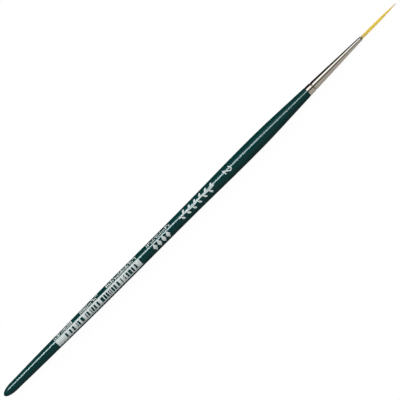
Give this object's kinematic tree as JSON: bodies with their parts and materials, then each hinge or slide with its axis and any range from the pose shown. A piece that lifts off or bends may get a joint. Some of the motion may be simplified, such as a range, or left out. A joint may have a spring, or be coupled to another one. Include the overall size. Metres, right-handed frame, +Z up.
{
  "type": "fine detail brush",
  "caption": "Short-handled fine detail brush: green gloss lacquered wooden handle, tapered crimped metal ferrule and a long thin golden tuft that bends and springs back.",
  "frame": {"origin": "below the middle of the brush's length, on the surface the handle's belly rests on", "axes": "+X along the brush towards the hair tip, +Z up"},
  "size_m": [0.185, 0.0052, 0.0052],
  "materials": {
    "wood": "turned and sanded",
    "lacquer": "dipped gloss lacquer",
    "nickel": "bright nickel plate, lightly drawn along its length",
    "glue": "set amber epoxy",
    "thread": "waxed thread",
    "filament": "satin tapered filament",
    "ink": "thin white screen ink over the lacquer"
  },
  "bodies": {
    "brush": {"handle_core": "wood", "handle_lacquer": "lacquer", "ferrule": "nickel", "tenon_glue": "glue", "root_glue": "glue", "root_binding": "thread", "tuft_root": "filament"},
    "tuft_lower": {"tuft_lower": "filament"},
    "tuft_middle": {"tuft_middle": "filament"},
    "tuft_tip": {"tuft_tip": "filament"}
  },
  "joints": [
    {"name": "tuft_lower_bend", "type": "hinge", "parent": "brush", "child": "tuft_lower", "pos_m": [0.078, 0, 0.00262], "axis": [0, 0, 1], "range_deg": [-30, 30], "stiffness_Nm_per_rad": 0.00016},
    {"name": "tuft_middle_bend", "type": "hinge", "parent": "tuft_lower", "child": "tuft_middle", "pos_m": [0.0826, 0, 0.00262], "axis": [0, 0, 1], "range_deg": [-30, 30], "stiffness_Nm_per_rad": 0.00008},
    {"name": "tuft_tip_bend", "type": "hinge", "parent": "tuft_middle", "child": "tuft_tip", "pos_m": [0.0872, 0, 0.00262], "axis": [0, 0, 1], "range_deg": [-30, 30], "stiffness_Nm_per_rad": 0.00003}
  ]
}
